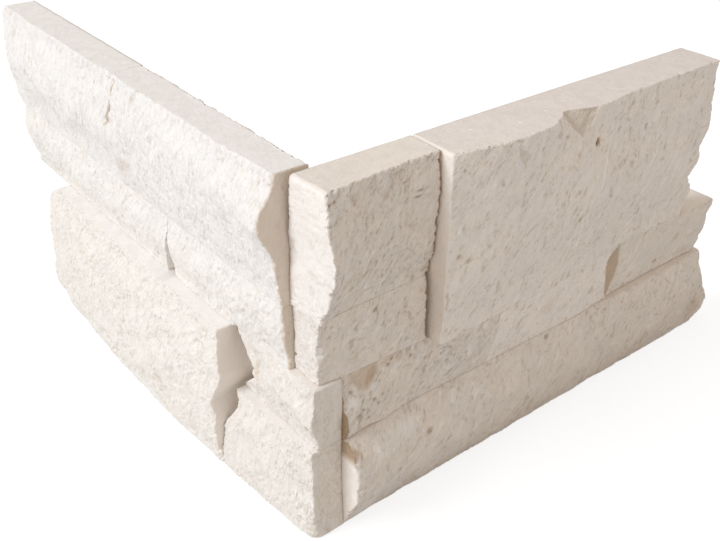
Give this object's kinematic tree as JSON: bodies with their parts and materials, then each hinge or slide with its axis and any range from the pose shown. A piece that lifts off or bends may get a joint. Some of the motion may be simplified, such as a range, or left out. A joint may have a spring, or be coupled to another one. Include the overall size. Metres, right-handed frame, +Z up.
{
  "type": "stacked stone ledger corner panel",
  "caption": "L-shaped corner ledger panel of hewn limestone courses glued bed to bed, with staggered ends and flat sawn backs.",
  "frame": {"origin": "foot of the inner back corner, where the two sawn backs meet on the bottom bed", "axes": "+Z up along the inner back corner, +X along the right leg, +Y along the left leg; the hewn faces look towards -Y and -X"},
  "size_m": [0.2717, 0.2661, 0.1524],
  "materials": {
    "limestone": "hewn face, sawn back and beds"
  },
  "bodies": {
    "root": {"right_top_corner_stone": "limestone", "right_second_corner_stone": "limestone", "right_tall_stone": "limestone", "right_third_inner_stone": "limestone", "right_third_middle_stone": "limestone", "right_third_outer_stone": "limestone", "right_bottom_long_stone": "limestone", "left_top_inner_stone": "limestone", "left_top_outer_stone": "limestone", "left_second_inner_stone": "limestone", "left_second_outer_stone": "limestone", "left_tall_stone": "limestone", "left_third_corner_stone": "limestone", "left_bottom_corner_stone": "limestone"}
  },
  "joints": []
}
